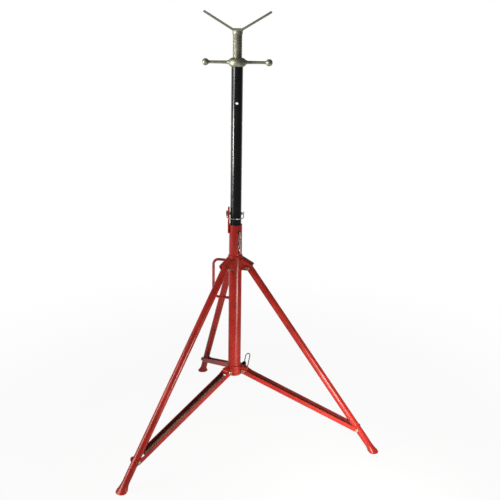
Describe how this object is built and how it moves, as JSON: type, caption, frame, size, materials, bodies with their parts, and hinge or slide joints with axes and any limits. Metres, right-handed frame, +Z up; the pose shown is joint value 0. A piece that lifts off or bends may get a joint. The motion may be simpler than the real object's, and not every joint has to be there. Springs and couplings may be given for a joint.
{
  "type": "folding pipe stand",
  "caption": "Folding tripod jack stand: hinged tube legs, channel braces on a sliding collar, pinned sliding post and a screw-adjusted V saddle.",
  "frame": {"origin": "on the floor, in the middle of the box round the feet", "axes": "+Z up along the post, X across the saddle's V, +Y away from the picture's viewer"},
  "size_m": [1.2039, 1.2234, 2.011],
  "materials": {
    "red_paint": "gloss red enamel",
    "black_paint": "gloss black enamel",
    "screw_zinc": "zinc plated thread",
    "cast_zinc": "zinc plated casting",
    "plate_zinc": "zinc plated plate",
    "fastener_zinc": "yellow zinc plate",
    "wire_zinc": "bright zinc plate",
    "dark_steel": "oiled dark steel"
  },
  "bodies": {
    "stand": {"main_tube": "red_paint", "stop_ring": "red_paint", "hub_sleeve": "red_paint", "hub_lug_right": "red_paint", "hub_lug_rear": "red_paint", "hub_lug_front": "red_paint", "hub_bolts": "fastener_zinc", "hub_nuts": "fastener_zinc", "carry_handle": "red_paint", "pin_bracket": "red_paint", "chain_eyes": "dark_steel", "keeper_chain": "wire_zinc"},
    "collar": {"brace_collar": "red_paint", "collar_lug_right": "red_paint", "collar_lug_rear": "red_paint", "collar_lug_front": "red_paint", "collar_bolts": "fastener_zinc", "collar_nuts": "fastener_zinc"},
    "lock_pin": {"lock_pin": "dark_steel"},
    "pull_ring": {"pull_ring": "dark_steel"},
    "post": {"post": "black_paint", "post_cap": "black_paint"},
    "height_pin": {"height_pin": "fastener_zinc"},
    "pin_bail": {"pin_bail": "wire_zinc"},
    "jack_nut": {"jack_nut": "cast_zinc"},
    "screw": {"jack_screw": "screw_zinc", "saddle_boss": "plate_zinc", "v_saddle": "plate_zinc"},
    "brace_right": {"brace_right": "red_paint", "brace_bolt_right": "fastener_zinc", "brace_nut_right": "fastener_zinc"},
    "leg_right": {"leg_right": "red_paint", "leg_bush_right": "dark_steel", "foot_right": "red_paint"},
    "brace_rear": {"brace_rear": "red_paint", "brace_bolt_rear": "fastener_zinc", "brace_nut_rear": "fastener_zinc"},
    "leg_rear": {"leg_rear": "red_paint", "leg_bush_rear": "dark_steel", "foot_rear": "red_paint"},
    "brace_front": {"brace_front": "red_paint", "brace_bolt_front": "fastener_zinc", "brace_nut_front": "fastener_zinc"},
    "leg_front": {"leg_front": "red_paint", "leg_bush_front": "dark_steel", "foot_front": "red_paint"}
  },
  "joints": [
    {"name": "collar_slide", "type": "slide", "parent": "stand", "child": "collar", "axis": [0, 0, 1], "range_m": [0, 0.19566]},
    {"name": "brace_fold_right", "type": "hinge", "parent": "collar", "child": "brace_right", "pos_m": [-0.05132, -0.08942, 0.35], "axis": [0.2284, 0.9736, 0], "range_deg": [0, 58.17]},
    {"name": "leg_fold_right", "type": "hinge", "parent": "brace_right", "child": "leg_right", "pos_m": [0.49699, -0.21802, 0.11568], "axis": [0.2284, 0.9736, 0], "range_deg": [-27.57, 0]},
    {"name": "brace_fold_rear", "type": "hinge", "parent": "collar", "child": "brace_rear", "pos_m": [-0.11445, -0.03013, 0.35], "axis": [-0.9573, -0.289, 0], "range_deg": [0, 58.17]},
    {"name": "leg_fold_rear", "type": "hinge", "parent": "brace_rear", "child": "leg_rear", "pos_m": [-0.27723, 0.50902, 0.11568], "axis": [-0.9573, -0.289, 0], "range_deg": [-27.57, 0]},
    {"name": "brace_fold_front", "type": "hinge", "parent": "collar", "child": "brace_front", "pos_m": [-0.13423, -0.11445, 0.35], "axis": [0.729, -0.6845, 0], "range_deg": [0, 58.17]},
    {"name": "leg_fold_front", "type": "hinge", "parent": "brace_front", "child": "leg_front", "pos_m": [-0.51976, -0.525, 0.11568], "axis": [0.729, -0.6845, 0], "range_deg": [-27.57, 0]},
    {"name": "lock_pin_push", "type": "slide", "parent": "collar", "child": "lock_pin", "axis": [-0.866, -0.5, 0], "range_m": [0, 0.008]},
    {"name": "pull_ring_swing", "type": "hinge", "parent": "lock_pin", "child": "pull_ring", "pos_m": [-0.05237, -0.0505, 0.364], "axis": [0.1801, 0.104, 0.9781], "range_deg": [-30, 90]},
    {"name": "post_slide", "type": "slide", "parent": "stand", "child": "post", "axis": [0, 0, 1], "range_m": [0, 0.1016]},
    {"name": "pin_pull", "type": "slide", "parent": "post", "child": "height_pin", "axis": [-1, 0, 0], "range_m": [0, 0.086]},
    {"name": "bail_swing", "type": "hinge", "parent": "height_pin", "child": "pin_bail", "pos_m": [-0.1408, -0.078, 1.13], "axis": [0, 0, -1], "range_deg": [0, 180]},
    {"name": "nut_spin", "type": "hinge", "parent": "post", "child": "jack_nut", "pos_m": [-0.1, -0.078, 1.8], "axis": [0, 0, 1], "range_deg": [-5040, 5040]},
    {"name": "screw_lift", "type": "slide", "parent": "post", "child": "screw", "axis": [0, 0, 1], "range_m": [-0.0889, 0.0889]}
  ],
  "couplings": [
    {"joint": "brace_fold_right", "follows": "collar_slide", "rad_per_m": 5.1891},
    {"joint": "leg_fold_right", "follows": "collar_slide", "rad_per_m": -2.4595},
    {"joint": "brace_fold_rear", "follows": "collar_slide", "rad_per_m": 5.1891},
    {"joint": "leg_fold_rear", "follows": "collar_slide", "rad_per_m": -2.4595},
    {"joint": "brace_fold_front", "follows": "collar_slide", "rad_per_m": 5.1891},
    {"joint": "leg_fold_front", "follows": "collar_slide", "rad_per_m": -2.4595},
    {"joint": "bail_swing", "follows": "pin_pull", "rad_per_m": 36.5},
    {"joint": "screw_lift", "follows": "nut_spin", "m_per_rad": -0.0010106}
  ]
}
